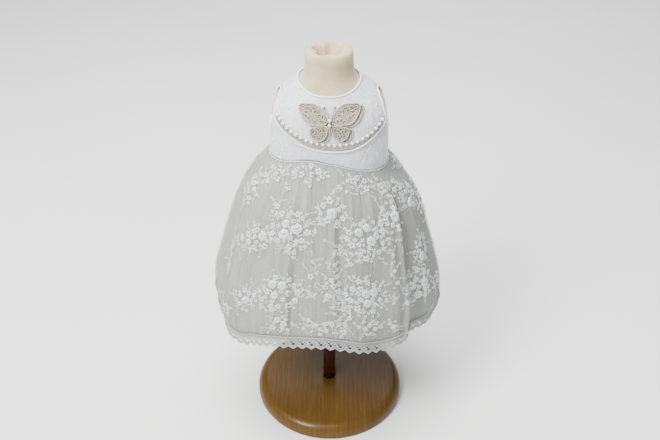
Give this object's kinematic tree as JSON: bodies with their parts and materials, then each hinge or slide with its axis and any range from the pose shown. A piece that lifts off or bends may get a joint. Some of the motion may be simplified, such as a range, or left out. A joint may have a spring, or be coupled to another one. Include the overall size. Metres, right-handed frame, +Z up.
{
  "type": "christening gown on a limbless dress form with a round wooden stand",
  "caption": "Sleeveless christening gown with a butterfly yoke, gathered embroidered tulle skirt and lace hem, on a dress form with a turned wooden stand.",
  "frame": {"origin": "centre of the stand's flat underside", "axes": "+Z up along the pole, -Y out of the gown's front, +X towards the wearer's left"},
  "size_m": [0.3244, 0.2582, 0.561],
  "materials": {
    "oak": "varnished",
    "pole_wood": "stained and varnished",
    "jersey": "cotton jersey",
    "bodice_lace": "satin under fine corded lace",
    "binding": "satin bias binding",
    "piping": "corded satin piping",
    "braid": "looped cotton braid",
    "pearl": "pearlised",
    "butterfly_lace": "corded ivory lace",
    "embroidered_tulle": "sheer tulle with white embroidery",
    "plain_tulle": "sheer tulle",
    "lining": "cotton batiste",
    "hem_lace": "cotton edging lace"
  },
  "bodies": {
    "root": {"stand_base": "oak", "stand_pole": "pole_wood", "form_torso": "jersey", "front_yoke": "bodice_lace", "front_midriff": "bodice_lace", "back_left": "bodice_lace", "back_right": "bodice_lace", "back_placket": "bodice_lace", "neck_binding": "binding", "armhole_binding_left": "binding", "armhole_binding_right": "binding", "yoke_piping": "piping", "pearl_trim_braid": "braid", "pearl_trim": "pearl", "back_button_1": "pearl", "back_button_2": "pearl", "back_button_3": "pearl", "butterfly_pearl_1": "pearl", "butterfly_pearl_2": "pearl", "skirt_embroidered": "embroidered_tulle", "skirt_tulle": "plain_tulle", "skirt_lining": "lining", "hem_lace": "hem_lace", "hem_cord": "hem_lace", "butterfly_body": "butterfly_lace", "butterfly_feeler_left": "butterfly_lace", "butterfly_feeler_right": "butterfly_lace", "butterfly_under_forewing_left": "butterfly_lace", "butterfly_under_forewing_right": "butterfly_lace", "butterfly_under_hindwing_left": "butterfly_lace", "butterfly_under_hindwing_right": "butterfly_lace", "butterfly_top_forewing_left": "butterfly_lace", "butterfly_top_forewing_right": "butterfly_lace", "butterfly_top_hindwing_left": "butterfly_lace", "butterfly_top_hindwing_right": "butterfly_lace"}
  },
  "joints": []
}
